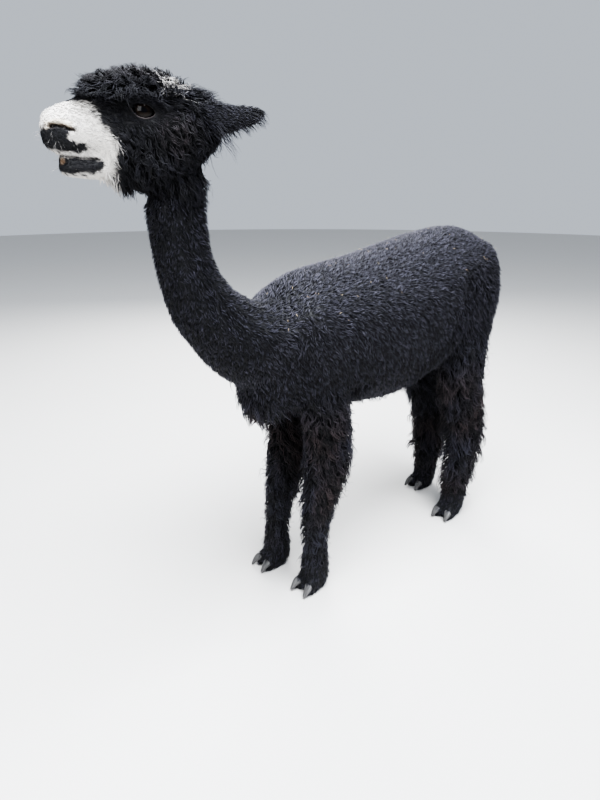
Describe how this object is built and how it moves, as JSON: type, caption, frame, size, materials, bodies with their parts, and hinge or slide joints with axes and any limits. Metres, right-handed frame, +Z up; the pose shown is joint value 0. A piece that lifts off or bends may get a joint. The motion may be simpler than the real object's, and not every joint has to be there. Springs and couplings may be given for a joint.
{
  "type": "alpaca model",
  "caption": "Life-size still model of a standing alpaca with a shorn black coat, shaggy legs, a white muzzle and a puffy topknot, its head turned to one side.",
  "frame": {"origin": "on the floor, at the middle of the outer box", "axes": "+X the way the body faces, +Y the animal's left side, +Z up"},
  "size_m": [1.3698, 0.3628, 1.2916],
  "materials": {
    "fleece": "matt woolly coat",
    "eye": "wet, glossy",
    "nail": "dull horn"
  },
  "bodies": {
    "root": {"head": "fleece", "neck": "fleece", "trunk": "fleece", "tail": "fleece", "ear_left": "fleece", "ear_right": "fleece", "eye_left": "eye", "eye_right": "eye", "leg_front_left_upper": "fleece", "leg_front_left_shin": "fleece", "foot_front_left": "fleece", "nail_front_left_inner": "nail", "nail_front_left_outer": "nail", "leg_front_right_upper": "fleece", "leg_front_right_shin": "fleece", "foot_front_right": "fleece", "nail_front_right_inner": "nail", "nail_front_right_outer": "nail", "leg_hind_left_upper": "fleece", "leg_hind_left_shin": "fleece", "foot_hind_left": "fleece", "nail_hind_left_inner": "nail", "nail_hind_left_outer": "nail", "leg_hind_right_upper": "fleece", "leg_hind_right_shin": "fleece", "foot_hind_right": "fleece", "nail_hind_right_inner": "nail", "nail_hind_right_outer": "nail"}
  },
  "joints": []
}
